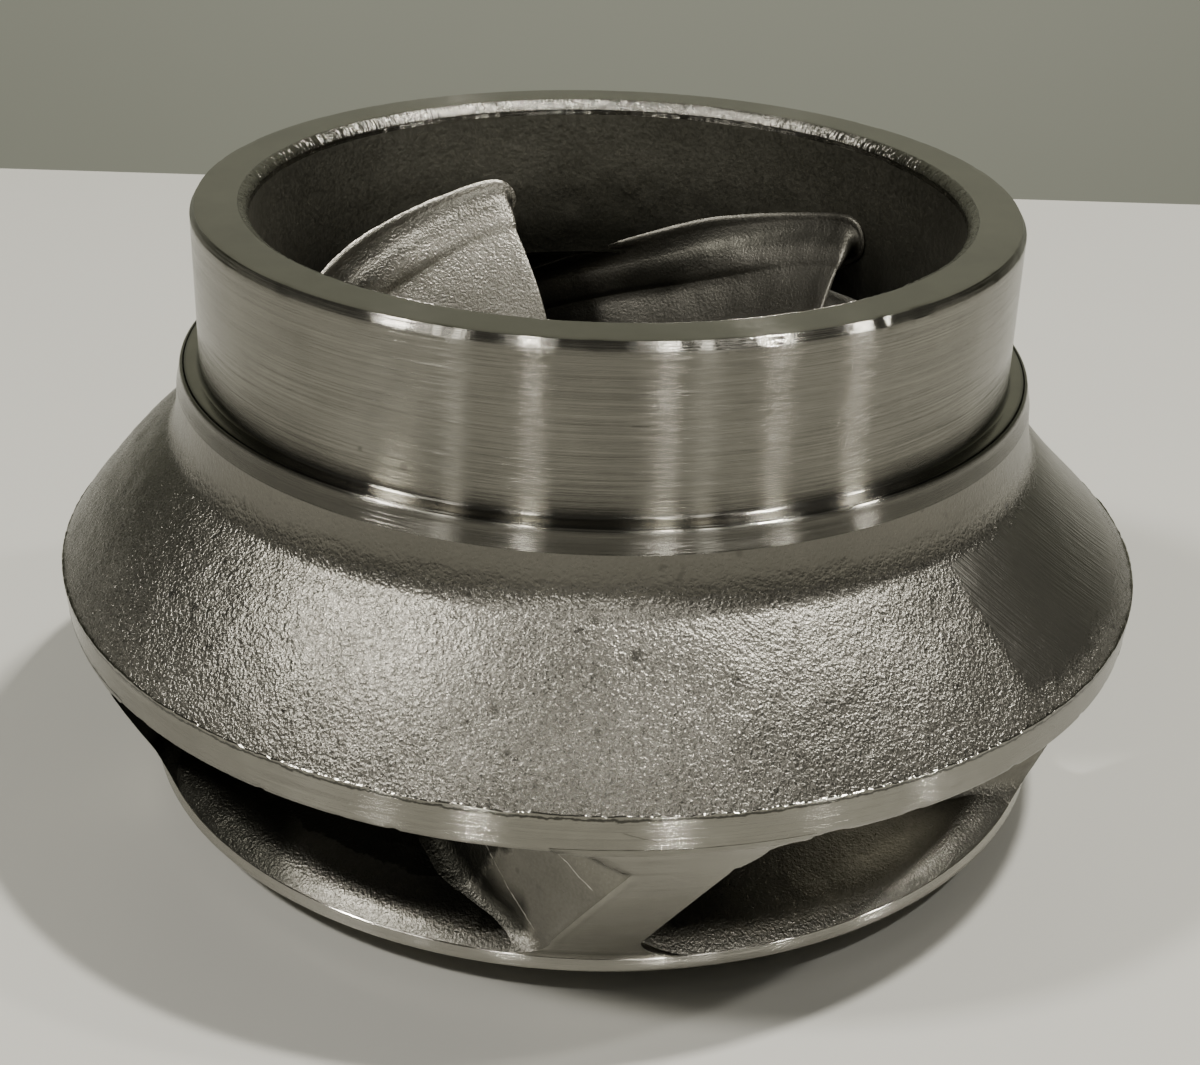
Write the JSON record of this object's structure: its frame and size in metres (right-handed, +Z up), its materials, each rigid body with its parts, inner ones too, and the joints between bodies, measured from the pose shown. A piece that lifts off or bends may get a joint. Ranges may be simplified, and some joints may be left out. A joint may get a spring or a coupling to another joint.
{
  "type": "closed mixed-flow pump impeller",
  "caption": "Closed mixed-flow pump impeller with a turned suction eye ring, domed front shroud, swept vanes, open outlet passages and a keyed back hub.",
  "frame": {"origin": "centre of the hub's flat resting face, on the impeller's axis, at the lowest point", "axes": "+Z up along the impeller's axis towards the suction eye; the picture was taken from the -Y side; +X is the picture's right"},
  "size_m": [0.1504, 0.1504, 0.082],
  "materials": {
    "turned_steel": "turned, satin, with fine tool lines round the axis",
    "cast_steel": "sand-cast skin, coarse grain, cleaned bright"
  },
  "bodies": {
    "root": {"eye_ring": "turned_steel", "shoulder_ring": "turned_steel", "front_shroud": "cast_steel", "outlet_band": "turned_steel", "vane_1": "cast_steel", "vane_2": "cast_steel", "vane_3": "cast_steel", "vane_4": "cast_steel", "vane_5": "cast_steel", "back_shroud": "cast_steel", "back_rim": "turned_steel", "hub_boss": "cast_steel", "hub_base": "turned_steel"}
  },
  "joints": []
}
